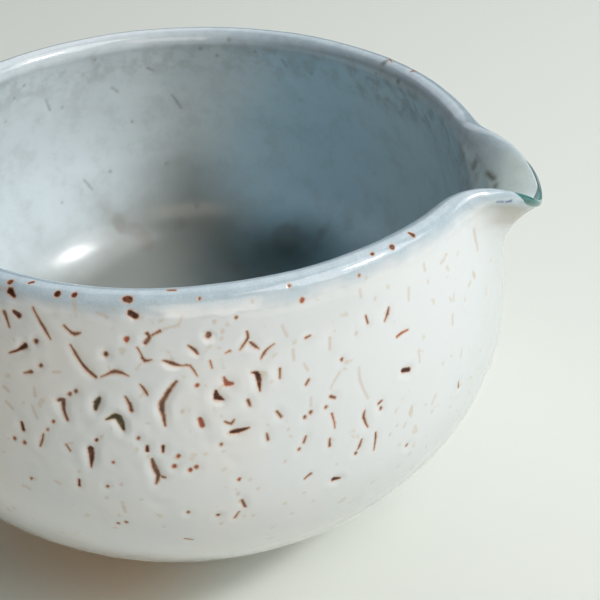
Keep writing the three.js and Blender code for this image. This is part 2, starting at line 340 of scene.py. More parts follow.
# Marks where the glaze crawled. Those that the photograph shows are placed by where they show in it:
# each is a stroke through points of x, y and half width, all in its pixels.
crawlSeen = {
    "dark": [
        [(10, 282, 2.6)], [(10, 291, 3.8), (14, 296, 2)], [(29, 283, 1.4), (33, 282, 1.8)],
        [(57, 294, 3.2)], [(74, 295, 2.8)], [(125, 299, 3.4), (129, 299, 4)],
        [(130, 313, 3.4), (135, 316, 3.4)], [(14, 312, 2), (18, 315, 3.2)],
        [(24, 346, 3), (18, 350, 1.4), (9, 353, 0.8)], [(147, 447, 1.6), (147, 451, 1.8)],
        [(163, 447, 1.6), (163, 452, 1.4)], [(21, 423, 1.6), (23, 430, 1.8)],
        [(90, 450, 3.2), (91, 458, 2.4), (91, 467, 1)],
        [(252, 373, 1), (257, 374, 2.4), (259, 380, 2.6), (260, 391, 0.8)],
        [(216, 392, 1.6), (217, 398, 3.4), (223, 400, 1.4)],
        [(231, 433, 1.8), (238, 432, 2.6), (249, 428, 0.8)],
        [(392, 247, 3.2)], [(413, 235, 2.6), (409, 233, 1.4)], [(372, 254, 2)],
        [(404, 371, 2.6), (410, 370, 2.4)], [(334, 480, 2.8), (340, 479, 1.2)],
        [(96, 441, 1.6)], [(79, 480, 1.2), (79, 486, 1.4)],
    ],
    "olive": [
        [(99, 399, 1.8), (96, 404, 3), (95, 410, 1.8)],
        [(106, 420, 1), (112, 418, 2.4), (118, 419, 3.6), (123, 430, 1.8)],
    ],
    "brown": [
        [(4, 312, 2), (6, 318, 1.6), (9, 327, 1)],
        [(33, 308, 1), (39, 320, 1.3), (44, 329, 1.7), (50, 339, 0.6)],
        [(64, 326, 1.2), (69, 331, 1.2), (74, 334, 1.9), (80, 333, 0.8)],
        [(70, 345, 0.8), (75, 354, 1.5), (80, 362, 1.5), (86, 370, 2), (95, 377, 1.6)],
        [(35, 342, 2.4)], [(105, 355, 2.4)], [(40, 366, 1.7)], [(24, 373, 0.8), (31, 372, 1.8)],
        [(147, 334, 2), (149, 338, 1.8), (145, 343, 2.2)],
        [(148, 337, 1), (154, 334, 1), (160, 331, 1.6)],
        [(137, 348, 0.8), (141, 355, 0.9), (144, 361, 1.9), (151, 360, 0.6)],
        [(101, 377, 0.5), (108, 374, 1.2), (114, 372, 2.2), (121, 373, 1.4), (128, 376, 0.5)],
        [(163, 361, 0.8), (170, 363, 2), (176, 365, 1.6), (182, 366, 0.6)],
        [(182, 366, 0.6), (190, 366, 1.1), (197, 376, 0.5)],
        [(188, 346, 1), (194, 350, 1.8), (197, 354, 1.3)],
        [(58, 401, 1.6), (62, 401, 2.6), (63, 410, 1.8), (67, 420, 1.4)],
        [(69, 395, 1.8)], [(75, 392, 1.8)], [(140, 385, 0.7), (144, 390, 1.5), (147, 395, 1)],
        [(125, 397, 0.8), (129, 404, 1.8), (131, 411, 2)],
        [(176, 382, 1.4), (169, 391, 2.2), (164, 399, 2.2), (161, 406, 3), (163, 416, 2),
         (165, 426, 1)],
        [(208, 336, 3)], [(247, 332, 1.2), (248, 338, 1.3), (245, 343, 1.3), (240, 350, 0.8)],
        [(249, 341, 0.7), (253, 345, 2), (259, 349, 0.5)],
        [(274, 344, 0.5), (268, 349, 1), (264, 354, 1.6), (261, 359, 0.6)],
        [(280, 369, 1.1), (280, 378, 1)], [(248, 401, 2), (250, 406, 1.2)],
        [(277, 412, 1.2), (281, 417, 1.6)], [(225, 422, 1), (231, 424, 1.4), (234, 420, 0.8)],
        [(289, 286, 1.8)], [(236, 318, 1.6)], [(199, 299, 1.5)], [(359, 276, 1.4)],
        [(366, 316, 1), (368, 323, 1)], [(389, 308, 1), (388, 314, 1.5), (385, 321, 0.8)],
        [(306, 338, 1.2), (310, 336, 1.2)], [(306, 385, 1), (309, 380, 1.3)],
        [(331, 397, 1.8), (335, 398, 1.4)], [(311, 413, 1.8)], [(305, 418, 1.7)],
        [(326, 408, 1.5)], [(342, 360, 1.5)], [(304, 443, 1.2), (306, 437, 1.2)],
        [(299, 450, 1.4)], [(330, 439, 0.9), (330, 446, 1.5)],
        [(362, 440, 1), (360, 446, 1.5), (358, 450, 0.7)], [(356, 454, 1.5)],
        [(376, 433, 1), (376, 438, 1.3), (374, 450, 0.6)], [(379, 404, 1.4), (382, 401, 1)],
        [(381, 409, 1.5)], [(365, 411, 0.8), (364, 418, 1.5), (368, 427, 1)],
        [(152, 460, 1.6), (154, 468, 2.6), (158, 476, 2.4), (156, 484, 1.2)],
        [(158, 477, 1.6), (165, 478, 1)], [(242, 501, 1.6), (245, 507, 1.4)],
        [(235, 518, 1.2), (239, 512, 0.8)], [(218, 516, 1.8)], [(305, 479, 1), (311, 474, 1.2)],
        [(118, 524, 1.4)], [(126, 523, 1.6)], [(185, 539, 0.8), (192, 540, 1)],
        [(188, 513, 1.5)], [(138, 439, 1.5)], [(107, 487, 1.5)], [(66, 445, 0.9), (70, 451, 0.9)],
        [(31, 479, 1.3)], [(43, 434, 0.8), (42, 440, 1.1), (40, 446, 1)], [(47, 430, 1.2)],
        [(267, 434, 0.9), (268, 440, 1.4)], [(221, 445, 1.4)], [(407, 446, 1.6)],
        [(459, 387, 1.4), (459, 382, 0.8)], [(168, 290, 1.6), (175, 290, 1.6)],
    ],
    "rust": [
        [(126, 340, 2.6)], [(197, 386, 1.8)], [(200, 420, 2.4), (202, 426, 2.6)],
        [(224, 378, 1), (227, 384, 2.8), (232, 384, 1.8)], [(174, 467, 2.2)], [(190, 471, 2)],
        [(196, 468, 2)], [(178, 457, 1.9)], [(113, 463, 1.3)], [(302, 301, 2.4)],
        [(53, 422, 1.4)], [(14, 439, 1.7)], [(24, 443, 1.9)],
        [(397, 337, 1), (402, 333, 1.3), (408, 330, 0.8)], [(210, 361, 0.8), (212, 368, 0.6)],
        [(226, 353, 0.6), (230, 351, 1)], [(332, 414, 1.1), (334, 421, 0.7), (335, 428, 0.6)],
        [(239, 480, 1.6)],
    ],
    "dimple": [
        [(18, 458, 1), (28, 454, 1.5), (38, 459, 1.5), (45, 470, 1)],
        [(22, 478, 1), (26, 470, 1.5), (33, 468, 1.2)], [(40, 492, 1), (50, 496, 1.5), (60, 492, 1)],
        [(150, 500, 1), (158, 505, 1.5), (168, 503, 1)], [(92, 508, 1), (100, 512, 1.2)],
        [(70, 462, 1), (76, 466, 1.4)], [(131, 464, 1.2), (136, 470, 1)],
        [(205, 440, 1.2), (211, 445, 1.2)], [(190, 432, 1.5)], [(84, 426, 1.6)],
        [(150, 425, 1.5), (152, 431, 1)], [(228, 458, 1.2), (236, 462, 1.2)],
    ],
    "inside": [
        [(229, 40, 1.8)], [(200, 49, 1.6)], [(148, 68, 1.8), (153, 71, 1)], [(217, 56, 1.8)],
        [(46, 100, 1), (50, 110, 1.4)], [(62, 108, 1.2)], [(24, 86, 1.4)], [(14, 99, 1.2)],
        [(110, 172, 1.6)], [(84, 180, 0.9), (92, 189, 1.2)], [(62, 203, 1.2)], [(6, 122, 1.2)],
        [(196, 207, 1.4)], [(166, 164, 1.3)],
        [(112, 88, 1.2), (118, 92, 1)], [(172, 95, 1.2), (181, 108, 1.3)], [(132, 122, 1.4)],
        [(255, 52, 1.4)], [(282, 60, 1.2), (286, 66, 1)], [(312, 74, 1.3)], [(95, 60, 1.2)],
        [(376, 74, 1.4)], [(444, 150, 1.4)], [(430, 132, 1.3)], [(300, 100, 1.2)],
    ],
    "murk": [
        [(384, 63, 3), (388, 60, 1.6)], [(398, 82, 2.4)], [(457, 166, 2.2)],
        [(475, 163, 2.4), (473, 168, 2.8)], [(487, 173, 2.2), (493, 178, 3)],
        [(495, 186, 2)],
    ],
    "navy": [[(497, 202, 1), (503, 202, 1.4)], [(506, 202, 1.2), (511, 201, 1.6)]],
    "faint": [
        [(74, 301, 1.5), (76, 316, 1)], [(97, 313, 1), (107, 317, 1.3)],
        [(160, 331, 0.8), (170, 327, 0.7), (178, 325, 1.2), (182, 316, 0.6)],
        [(144, 361, 0.6), (136, 369, 0.6)], [(53, 372, 1), (60, 372, 1)],
        [(4, 387, 1.4), (8, 391, 1.4)], [(6, 402, 1.2), (13, 409, 1)],
        [(34, 388, 0.8), (35, 396, 1.2)], [(32, 406, 0.8), (37, 418, 1.1)], [(182, 412, 1.6)],
        [(222, 332, 1.6)], [(221, 339, 1.2)], [(214, 322, 1.6)], [(252, 302, 1.2)],
        [(360, 290, 1), (361, 297, 1)], [(375, 299, 1.2)], [(330, 338, 1.4), (330, 349, 1.2)],
        [(282, 326, 1), (287, 336, 1)], [(356, 334, 1.6)], [(304, 364, 0.9), (308, 370, 1)],
        [(359, 368, 1), (360, 380, 1), (364, 390, 1), (368, 398, 0.9)],
        [(340, 372, 0.7), (335, 380, 0.8), (331, 388, 0.6)], [(311, 398, 0.8), (311, 406, 0.8)],
        [(293, 350, 1.2), (294, 360, 0.9)], [(442, 199, 1), (448, 204, 0.9)],
        [(424, 264, 1.2), (425, 270, 1.2)], [(446, 255, 1.1), (444, 260, 1.2), (441, 263, 1)],
        [(447, 267, 1.2), (449, 270, 1)], [(454, 295, 1.2), (454, 301, 1)],
        [(453, 315, 1.2), (453, 324, 1.3)], [(473, 272, 1), (475, 278, 1)],
        [(486, 290, 1.4), (487, 294, 1.2)], [(469, 286, 1.1)],
        [(474, 230, 1.6), (476, 240, 1.6), (478, 250, 1.2)], [(409, 288, 1.2), (409, 300, 1)],
        [(412, 406, 0.8), (410, 414, 0.9)], [(404, 427, 0.9), (406, 423, 0.9)], [(432, 412, 1.2)],
        [(390, 435, 1.1)], [(436, 395, 0.8), (432, 404, 0.8)], [(397, 426, 0.9)],
        [(258, 489, 1.1)], [(250, 480, 1.1)], [(238, 494, 1.4)], [(60, 484, 1.1), (55, 481, 0.9)],
        [(122, 502, 0.7), (125, 512, 0.9)], [(24, 486, 1.2), (30, 489, 1)], [(79, 472, 1)],
        [(148, 457, 0.9)], [(164, 527, 1)], [(107, 498, 1.1)], [(121, 485, 1.4)],
        [(272, 528, 1.1)], [(443, 364, 1.2)], [(398, 467, 1)], [(372, 483, 1.3)], [(350, 503, 1)],
        [(292, 514, 1.2)], [(285, 462, 1.1)], [(221, 524, 1.3)], [(253, 516, 1.1)],
        [(462, 350, 0.8), (461, 357, 0.8)], [(419, 352, 0.9), (420, 362, 0.8)],
        [(428, 282, 1.2)], [(465, 300, 1.1)],
    ],
}
# Each kind of mark: where its colour is on the ink ramps, how strongly it shows, how soft its edge
# is in mm, and how deep it is beside the others
crawlKinds = {
    "dark": (0.0, 1.0, 0.10, 1.0),
    "olive": (0.2, 1.0, 0.10, 1.2),
    "brown": (0.4, 0.95, 0.13, 1.0),
    "rust": (0.6, 0.95, 0.12, 0.7),
    "faint": (0.8, 0.68, 0.36, 0.4),
    "dimple": (0.8, 0.0, 0.1, 0.5),
    "inside": (0.2, 0.42, 0.45, 0.4),
    "murk": (0.2, 0.75, 0.6, 0.3),
    "navy": (1.0, 0.85, 0.2, 0.1),
}
crawl = {
    "strayOutside": 420,
    "strayInside": 130,
    "strayKinds": ["dark", "brown", "brown", "brown", "rust", "faint", "faint", "faint"],
    "strayInsideKind": "inside",
    "outsideFrom": (2, 62),  # mm below the crest: the nearest, and how much further they go
    "outsideRising": 1.3,  # the larger, the more of them lie near the rim
    "insideFrom": (2.5, 50),
    "dots": 0.45,  # share of the strays that are dots
    "dotWidth": (0.12, 0.4),
    "strokeLength": (0.8, 5),
    "strokeWidth": (0.12, 0.34),
    "strokeTaper": (0.4, 0.9, 1, 0.4),
    "dent": 0.30,  # mm deep under a mark of the full width
    "fullWidth": 0.34,
    "shoulderWidth": 0.5,  # mm that a dent spreads beyond its mark
    "swellFrom": 0.35,  # mm beyond a mark, where the glaze draws up
    "swellWide": 1.4,
    "swell": 0.2,  # its height as a share of the dent
    "shallowOverRim": 0.12,
    "searched": 6,  # mm round a mark
}


def surfaceTree(pieces):
    allPoints, allFaces = [], []
    for piece in pieces:
        first = len(allPoints)
        allPoints += [vertex.co.copy() for vertex in piece.data.vertices]
        allFaces += [[first + v for v in face.vertices] for face in piece.data.polygons]
    return BVHTree.FromPolygons(allPoints, allFaces)


glazeTree = surfaceTree(coats)
focal = photo["lens"] / photo["sensor"] * photo["size"]
turnOut = camera.rotation_euler.to_matrix()


def underPixel(x, y):
    # the point of the pitcher that the photograph shows at a pixel
    half = photo["size"] / 2
    ray = turnOut @ Vector(((x - half) / focal, (half - y) / focal, -1))
    place = glazeTree.ray_cast(camera.location, ray.normalized())[0]
    if place is None:
        return None, 0
    return np.array(place) / mm, (place - camera.location).length / mm / focal  # and mm a pixel


def showsInPhoto(point, normal):
    toPoint = Vector(point) * mm - camera.location
    local = turnOut.transposed() @ toPoint
    if local.z > 0 or Vector(normal).dot(toPoint) > 0.1 * toPoint.length:
        return False
    half = photo["size"] / 2
    x = half + focal * local.x / -local.z
    y = half - focal * local.y / -local.z
    return 0 < x < photo["size"] and 0 < y < photo["size"]


def sunkBy(point, width, kind):
    # how far the glaze is pressed in under a mark, which is little where it is thin over the rim
    thinning = [form["height"] - 6, form["height"] - 2.5]
    overRim = np.interp(point[2], thinning, [1, crawl["shallowOverRim"]])
    return crawl["dent"] * crawlKinds[kind][3] * min(width / crawl["fullWidth"], 1.2) * overRim


marks = []  # each a start and end point in mm, a half width at each, and its kind


def curved(values):
    # a point more between each two, on a curve through all of them
    values = np.array(values, dtype=float)
    first, last = 2 * values[:1] - values[1:2], 2 * values[-1:] - values[-2:-1]
    wide = np.concatenate([first, values, last])
    result = np.empty((2 * len(values) - 1,) + values.shape[1:])
    result[::2] = values
    result[1::2] = (9 * (wide[1:-2] + wide[2:-1]) - wide[:-3] - wide[3:]) / 16
    return list(result)


def addMark(points, widths, kind):
    if len(points) == 1:
        points, widths = [points[0], points[0] + np.array([0.05, 0.05, 0.1])], widths * 2
    if len(points) > 2:
        points, widths = curved(points), curved(widths)
    for i in range(len(points) - 1):
        marks.append((points[i], points[i + 1], widths[i], widths[i + 1], kind))


for kind, strokes in crawlSeen.items():
    for stroke in strokes:
        seen = [(underPixel(x, y), half) for x, y, half in stroke]
        if all(place is not None for (place, scale), half in seen):
            addMark(
                [place for (place, scale), half in seen],
                [scale * half for (place, scale), half in seen],
                kind,
            )


def strayMark(azimuth, depth, inside):
    # a seeded mark out of the photograph's view, drawn along the surface
    row = np.argmin(np.abs(fromCrest - (depth if inside else -depth)))
    start = pulled(glazeLine[row, 0], azimuth, glazeLine[row, 1])
    near = glazeTree.find_nearest(Vector(start) * mm)
    if showsInPhoto(start, near[1]):
        return
    kind = crawl["strayInsideKind"] if inside else dice.choice(crawl["strayKinds"])
    if dice.random() < crawl["dots"]:
        addMark([np.array(near[0]) / mm], [dice.uniform(*crawl["dotWidth"])], kind)
        return
    heading = dice.gauss(math.pi / 2, 0.8)
    length = dice.uniform(*crawl["strokeLength"])
    thickest = dice.uniform(*crawl["strokeWidth"])
    places, pieces = [], len(crawl["strokeTaper"]) - 1
    for _ in crawl["strokeTaper"]:
        places.append(np.array(near[0]) / mm)
        across = Vector((-math.sin(azimuth), math.cos(azimuth), 0))
        upward = near[1].cross(across)
        move = across * math.cos(heading) + upward * math.sin(heading)
        near = glazeTree.find_nearest(near[0] + move * (length / pieces * mm))
        heading += dice.gauss(0, 0.45)
    addMark(places, [thickest * share for share in crawl["strokeTaper"]], kind)


for i in range(crawl["strayOutside"]):
    nearest, further = crawl["outsideFrom"]
    depth = nearest + further * dice.random() ** crawl["outsideRising"]
    strayMark(dice.uniform(-math.pi, math.pi), depth, False)
for i in range(crawl["strayInside"]):
    nearest, further = crawl["insideFrom"]
    depth = nearest + further * dice.random()
    strayMark(dice.uniform(-math.pi, math.pi), depth, True)
print(len(marks), "strokes of crawled glaze placed")


def nearestMarks(points):
    # for each point, the numbers of the two nearest marks and the distance beyond the first's edge
    farOff = 99.0
    best, nextBest = np.full(len(points), farOff), np.full(len(points), farOff)
    which, second = np.zeros(len(points), dtype=int), np.zeros(len(points), dtype=int)
    for number, (start, end, widthA, widthB, kind) in enumerate(marks):
        along = end - start
        offset = np.abs(points - (start + end) / 2).max(axis=1)
        close = np.nonzero(offset < crawl["searched"])[0]
        if not len(close):
            continue
        toPoint = points[close] - start
        share = np.clip(toPoint @ along / max(along @ along, 1e-6), 0, 1)
        gap = np.linalg.norm(toPoint - share[:, None] * along, axis=1)
        gap -= widthA + (widthB - widthA) * share
        better = gap < best[close]
        first = close[better]
        nextBest[first], second[first] = best[first], which[first]
        best[first], which[first] = gap[better], number
        fair = ~better & (gap < nextBest[close])
        nextBest[close[fair]], second[close[fair]] = gap[fair], number
    return which, second, best


starts, ends = [mark[0] for mark in marks], [mark[1] for mark in marks]
sinks = np.array([sunkBy(mark[0], (mark[2] + mark[3]) / 2, mark[4]) for mark in marks])
facings = [
    glazeTree.find_nearest(Vector(start + end) / 2 * mm)[1] for start, end in zip(starts, ends)
]


def crawlInto(piece):
    # presses the marks into a coat, and tells each face which two marks are nearest
    mesh = piece.data
    points = readPoints(piece)
    which, _, gap = nearestMarks(points)
    spread = np.clip(gap / crawl["shoulderWidth"], 0, 1)
    dent = sinks[which] * (1 - spread) ** 2 * (1 + 2 * spread)
    alongSwell = np.clip(gap - crawl["swellFrom"], 0, crawl["swellWide"]) / crawl["swellWide"]
    swell = crawl["swell"] * sinks[which] * np.sin(alongSwell * math.pi)
    writePoints(piece, points + readNormals(piece) * (swell - dent)[:, None])
    centres = np.empty(len(mesh.polygons) * 3)
    mesh.polygons.foreach_get("center", centres)
    which, second, _ = nearestMarks(centres.reshape(-1, 3) / mm)
    for name, values in (
        ("markFrom", np.array(starts) * mm),
        ("markTo", np.array(ends) * mm),
        ("markFacing", facings),
        ("markWidths", [(mark[2] * mm, mark[3] * mm, 0) for mark in marks]),
        ("markInk", [crawlKinds[mark[4]][:3] for mark in marks]),
    ):
        values = np.array(values, dtype=float)
        for letter, chosen in (("A", which), ("B", second)):
            layer = mesh.attributes.new(name + letter, "FLOAT_VECTOR", "FACE")
            layer.data.foreach_set("vector", values[chosen].ravel())


for piece in coats:
    crawlInto(piece)
print("glaze crawled")


def thicken(piece, thickness):
    selectOnly(piece)
    wall = piece.modifiers.new("wall", "SOLIDIFY")
    wall.thickness = thickness * mm
    wall.offset = -1
    bpy.ops.object.modifier_apply(modifier=wall.name)


def thinBack(piece, keep):
    # the coat's hidden side needs few faces
    selectOnly(piece)
    back = piece.vertex_groups.new(name="back")
    half = len(piece.data.vertices) // 2
    back.add(list(range(half, 2 * half)), 1.0, "REPLACE")
    fewer = piece.modifiers.new("fewer", "DECIMATE")
    fewer.ratio = keep
    fewer.vertex_group = back.name
    bpy.ops.object.modifier_apply(modifier=fewer.name)
    piece.vertex_groups.clear()


for piece in coats:
    thicken(piece, coat["wall"])
thinBack(outerCoat, coat["backKept"])
print("coats have their thickness", [len(p.data.polygons) for p in coats])

# The clay under the glaze, bare round the foot and inside the ring
thrown = {"step": 1.4, "columns": 180}
clayBody = turnOnWheel(
    "thrown_clay",
    np.concatenate([[[0, form["footHeight"]]], evened(clay, thrown["step"])]),
    thrown["columns"],
)
pullLip(clayBody)
print("clay thrown")

foot = {"taper": 1.6, "innerTaper": 0.6, "wall": 4.6, "edge": 0.7, "columns": 160}


def footLine():
    outer = form["footRadius"]
    outerLow = outer - foot["taper"]
    innerLow = outer - foot["wall"] - foot["innerTaper"]
    edge = foot["edge"]
    corner = np.radians(np.linspace(180, 270, 6))
    line = [(outer - foot["wall"], form["footHeight"])]
    line += [(innerLow + edge + edge * math.cos(a), edge + edge * math.sin(a)) for a in corner]
    line += [(outerLow - edge - edge * math.cos(a), edge + edge * math.sin(a)) for a in corner[::-1]]
    line += [(outer, form["footHeight"]), line[0]]
    return np.array(line)


footRing = turnOnWheel("turned_foot", footLine(), foot["columns"])
points = readPoints(footRing)
points[:, 0] += form["axis"]
writePoints(footRing, points)
print("foot turned")

# Green glass that gathered on the edge of the lip
bead = {
    "nearWidth": 0.124,  # radians from the lip's middle
    "farWidth": 0.11,
    "turnsFar": 0.05,
    "from": -2.5,  # mm from the crest, along the glaze
    "to": 0.35,
    "farTo": -0.45,
    "thick": 0.42,
    "sunk": 0.12,
    "wall": 0.25,
    "columns": 60,
    "rows": 22,
}


def makeBead():
    deselectAll()
    bpy.ops.mesh.primitive_grid_add(
        x_subdivisions=bead["columns"], y_subdivisions=bead["rows"], size=2, location=(0, 0, 0)
    )
    piece = bpy.context.object
    piece.name = piece.data.name = "lip_glass"
    flat = readPoints(piece) * mm  # from -1 to 1 both ways
    azimuth = flat[:, 0] * np.where(flat[:, 0] < 0, bead["nearWidth"], bead["farWidth"])
    farSide = np.clip(azimuth / bead["turnsFar"], 0, 1)
    top = bead["to"] + (bead["farTo"] - bead["to"]) * farSide**2 * (3 - 2 * farSide)
    reach = bead["from"] + (top - bead["from"]) * (flat[:, 1] + 1) / 2
    radius = np.interp(reach, fromCrest, glazeLine[:, 0])
    z = np.interp(reach, fromCrest, glazeLine[:, 1])
    writePoints(piece, pulled(radius, azimuth, z))
    normals = readNormals(piece)
    outward = np.stack([np.cos(azimuth), np.sin(azimuth), 0 * azimuth], axis=-1)
    if (normals * outward).sum() < 0:
        bpy.ops.object.mode_set(mode="EDIT")
        bpy.ops.mesh.select_all(action="SELECT")
        bpy.ops.mesh.flip_normals()
        bpy.ops.object.mode_set(mode="OBJECT")
        normals = -normals
    swell = np.clip(1 - flat[:, 0] ** 4, 0, 1) ** 0.7 * np.clip(1 - flat[:, 1] ** 2, 0, 1) ** 0.5
    lift = bead["thick"] * swell - bead["sunk"]
    writePoints(piece, readPoints(piece) + normals * lift[:, None])
    thicken(piece, bead["wall"])
    return piece


lipGlass = makeBead()
print("lip glass laid")

for piece in coats + [clayBody, footRing, lipGlass]:
    selectOnly(piece)
    sharpFrom = 40 if piece in (footRing, clayBody) else 60  # degrees
    bpy.ops.object.shade_smooth_by_angle(angle=math.radians(sharpFrom))


# Materials
class Signal:
    # a socket that arithmetic can be written on
    def __init__(self, paint, socket):
        self.paint, self.socket = paint, socket

    def calc(self, operation, *values):
        return self.paint.node("ShaderNodeMath", {"operation": operation}, dict(enumerate(values)))

    def __add__(self, other):
        return self.calc("ADD", self, other)

    def __sub__(self, other):
        return self.calc("SUBTRACT", self, other)

    def __mul__(self, other):
        return self.calc("MULTIPLY", self, other)

    def __truediv__(self, other):
        return self.calc("DIVIDE", self, other)

    def __rsub__(self, other):
        return self.calc("SUBTRACT", other, self)

    __radd__, __rmul__ = __add__, __mul__


class Paint:
    def __init__(self, name):
        self.material = bpy.data.materials.new(name)
        self.material.use_nodes = True
        self.tree = self.material.node_tree
        self.tree.nodes.clear()
        self.place = self.node("ShaderNodeTexCoord", output="Object")

    def node(self, kind, settings=None, sockets=None, output=0):
        made = self.tree.nodes.new(kind)
        for key, value in (settings or {}).items():
            if key == "stops":
                ramp = made.color_ramp
                while len(ramp.elements) < len(value):
                    ramp.elements.new(0.5)
                for stop, (position, colour) in zip(ramp.elements, value):
                    stop.position, stop.color = position, colour
            else:
                setattr(made, key, value)
        for key, value in (sockets or {}).items():
            if isinstance(value, Signal):
                self.tree.links.new(value.socket, made.inputs[key])
            else:
                made.inputs[key].default_value = value
        return Signal(self, made.outputs[output]) if made.outputs else made

    def noise(self, scale, detail=3.0, roughness=0.5):
        return self.node(
            "ShaderNodeTexNoise",
            {"noise_dimensions": "3D"},
            {"Vector": self.place, "Scale": scale, "Detail": detail, "Roughness": roughness},
            "Fac",
        )

    def ease(self, value, start, end, low=0.0, high=1.0):
        return self.node(
            "ShaderNodeMapRange",
            {"interpolation_type": "SMOOTHSTEP"},
            {0: value, 1: start, 2: end, 3: low, 4: high},
        )

    def mix(self, share, first, second, blend="MIX"):
        return self.node(
            "ShaderNodeMix",
            {"data_type": "RGBA", "blend_type": blend},
            {0: share, 6: first, 7: second},
            2,
        )

    def parts(self, vector):
        split = self.node("ShaderNodeSeparateXYZ", None, {0: vector}).socket.node
        return [Signal(self, output) for output in split.outputs]

    def attribute(self, name, output):
        return self.node("ShaderNodeAttribute", {"attribute_name": name}, None, output)

    def vector(self, operation, first, second=None, output=0):
        sockets = {0: first}
        if second is not None:
            sockets[1] = second
        return self.node("ShaderNodeVectorMath", {"operation": operation}, sockets, output)

    def scaled(self, vector, share):
        return self.node(
            "ShaderNodeVectorMath", {"operation": "SCALE"}, {0: vector, "Scale": share}
        )

    def finish(self, sockets):
        shader = self.node("ShaderNodeBsdfPrincipled", None, sockets)
        self.node("ShaderNodeOutputMaterial", None, {"Surface": shader})
        return self.material


def rgba(red, green, blue):
    return (red, green, blue, 1.0)


glazeLook = {
    "white": rgba(0.775, 0.79, 0.785),
    "whiteCool": rgba(0.73, 0.775, 0.795),
    "paintedEdgeShade": rgba(0.60, 0.67, 0.66),  # painted shade on the body's +x side, under the lip
    "rim": rgba(0.36, 0.45, 0.52),
    "rimMilk": rgba(0.54, 0.65, 0.71),
    "milk": rgba(0.86, 0.95, 0.99),  # inside, lightest on the wall away from the lip, where the light falls: partly painted light
    "grey": rgba(0.73, 0.80, 0.82),
    # darker and bluer on the lip's half of the inside, whose wall faces away from the light: partly
    # painted shade
    "blue": rgba(0.46, 0.69, 0.84),
    "blueGrey": rgba(0.62, 0.775, 0.84),  # towards the lip
    "lipPaintedLight": rgba(0.80, 0.91, 0.87),  # painted light on the upward face inside the lip, near its tip
    # darker towards the bottom of the inside: pooled glaze and painted shade
    "poolAndShade": rgba(0.28, 0.295, 0.275),
    "poolAndShadeDark": rgba(0.09, 0.15, 0.175),
    # the painted shadow low on the inner wall
    "paintedShadowDarkest": rgba(0.035, 0.065, 0.065),
    "blotch": rgba(0.20, 0.14, 0.11),
    "stain": rgba(0.17, 0.15, 0.11),
    "underLip": rgba(0.40, 0.34, 0.26),
    "halo": rgba(0.66, 0.42, 0.27),
    "ochre": rgba(0.60, 0.47, 0.27),  # specks where the clay all but shows through
    "inks": [  # the middle of a dark, olive, brown, rust, faint and navy mark
        rgba(0.035, 0.007, 0.005), rgba(0.05, 0.045, 0.02), rgba(0.085, 0.031, 0.018),
        rgba(0.29, 0.055, 0.028), rgba(0.50, 0.35, 0.25), rgba(0.07, 0.11, 0.25),
    ],
    "inkEdges": [  # and their outer rims, where the glaze is thin over the clay
        rgba(0.28, 0.10, 0.045), rgba(0.20, 0.16, 0.075), rgba(0.38, 0.18, 0.10),
        rgba(0.42, 0.12, 0.05), rgba(0.60, 0.46, 0.34), rgba(0.20, 0.27, 0.42),
    ],
}


def nearStroke(paint, letter):
    # metres from a mark's edge, its half width there, and its ink
    start, end, facing, widths, ink = (
        paint.attribute(name + letter, "Vector")
        for name in ("markFrom", "markTo", "markFacing", "markWidths", "markInk")
    )
    along = paint.vector("SUBTRACT", end, start)
    toPoint = paint.vector("SUBTRACT", paint.place, start)
    height = paint.vector("DOT_PRODUCT", toPoint, facing, "Value")
    toPoint = paint.vector("SUBTRACT", toPoint, paint.scaled(facing, height))
    lengthSquared = paint.vector("DOT_PRODUCT", along, along, "Value")
    share = paint.vector("DOT_PRODUCT", toPoint, along, "Value") / lengthSquared
    share = paint.node("ShaderNodeClamp", None, {0: share})
    toStroke = paint.vector("SUBTRACT", toPoint, paint.scaled(along, share))
    gap = paint.vector("LENGTH", toStroke, None, "Value")
    first, last, _ = paint.parts(widths)
    width = first + (last - first) * share
    throughWall = paint.ease(height.calc("ABSOLUTE", height), 0.001, 0.003, 0, 0.01)
    return gap - width + throughWall, width, ink


# Sizes of the patterns in the glaze: the larger the number, the finer the pattern
grain = {
    "cloud": 60,
    "fine": 3800,
    "specks": 560,
    "streaks": 520,
    "drift": 34,
    "greyDrift": 55,
    "mottle": 170,
    "blotches": 105,
    "rimEdge": 260,
    "insideEdge": 200,
    "stains": 330,
    "soaked": 150,
    "raggedMarks": 1500,
    "patchyInk": 1000,
    "ripples": 420,
    "rimRipples": 850,
}
# A painted shadow, the darkest spot low on the inner wall, in metres
paintedShadowSpot = {"middle": (0.004, 0.0405, 0.0165), "squeeze": (0.62, 1.0, 1.0), "core": 0.001,
             "edge": 0.0145}


def outsideColour(paint, x, z, cloud):
    cool = paint.ease(cloud + x * 5, 0.36, 0.72)
    colour = paint.mix(cool, glazeLook["white"], glazeLook["whiteCool"])
    # painted shade: the white darkens towards the +x side, under the lip
    colour = paint.mix(paint.ease(x, 0.045, 0.055) * 0.4, colour, glazeLook["paintedEdgeShade"])
    specks = paint.ease(paint.noise(grain["specks"], 1.5, 0.5), 0.655, 0.74)
    specks = specks * paint.ease(z, 0.012, 0.034)
    return paint.mix(specks * 0.34, colour, glazeLook["ochre"])


def rimColour(paint, x, y, fine):
    streaks = paint.ease(paint.noise(grain["streaks"], 4.0, 0.65) * 0.6 + fine * 0.4, 0.36, 0.66)
    farHalf = paint.ease(y, -0.015, 0.025)
    # painted highlight: the far rim is whitened on the left, standing in for its soft glare
    paintedFarHighlight = farHalf * (1 - paint.ease(x, -0.036, 0.008))
    # paler towards +x on the near half, and on the far-left rim as painted highlight
    paler = paint.ease(x, -0.012, 0.014) * (1 - farHalf) + paintedFarHighlight
    colour = paint.mix(streaks * 0.5 + paler * 0.5, glazeLook["rim"], glazeLook["rimMilk"])
    # painted highlight on the far-left rim
    return paint.mix(paintedFarHighlight * 0.5, colour, glazeLook["whiteCool"])


